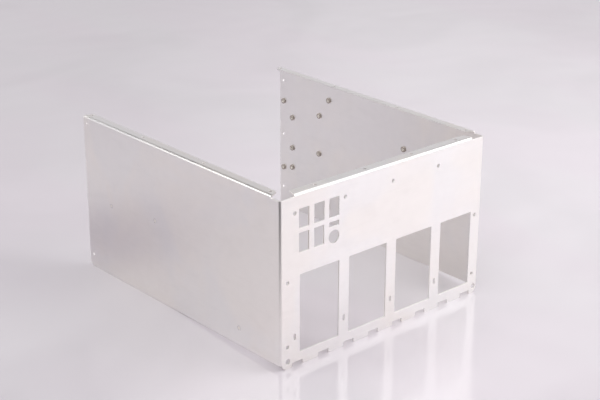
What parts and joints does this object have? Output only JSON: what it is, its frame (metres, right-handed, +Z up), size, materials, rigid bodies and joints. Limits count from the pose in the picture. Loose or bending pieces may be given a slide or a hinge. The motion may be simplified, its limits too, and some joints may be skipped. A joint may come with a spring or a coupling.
{
  "type": "sheet metal chassis",
  "caption": "Chassis folded from one sheet: front panel with bays and small windows, two sides, inward top flanges, castellated lower edge, and clinched nuts and standoffs.",
  "frame": {"origin": "middle of the footprint, level with the lowest edge of the front panel", "axes": "+X across the front to the right, +Y from the front panel to the open back, +Z up"},
  "size_m": [0.27, 0.3116, 0.1735],
  "materials": {
    "sheet": "zinc-plated steel sheet, satin",
    "nut": "plated steel, slightly dull and brownish",
    "standoff": "zinc-plated steel, heads pressed level with the sheet"
  },
  "bodies": {
    "root": {"folded_sheet_chassis": "sheet", "clinch_nut_01": "nut", "clinch_nut_02": "nut", "clinch_nut_03": "nut", "clinch_nut_04": "nut", "clinch_nut_05": "nut", "clinch_nut_06": "nut", "clinch_nut_07": "nut", "clinch_nut_08": "nut", "clinch_nut_09": "nut", "clinch_nut_10": "nut", "blind_standoff_01": "standoff", "blind_standoff_02": "standoff", "blind_standoff_03": "standoff"}
  },
  "joints": []
}
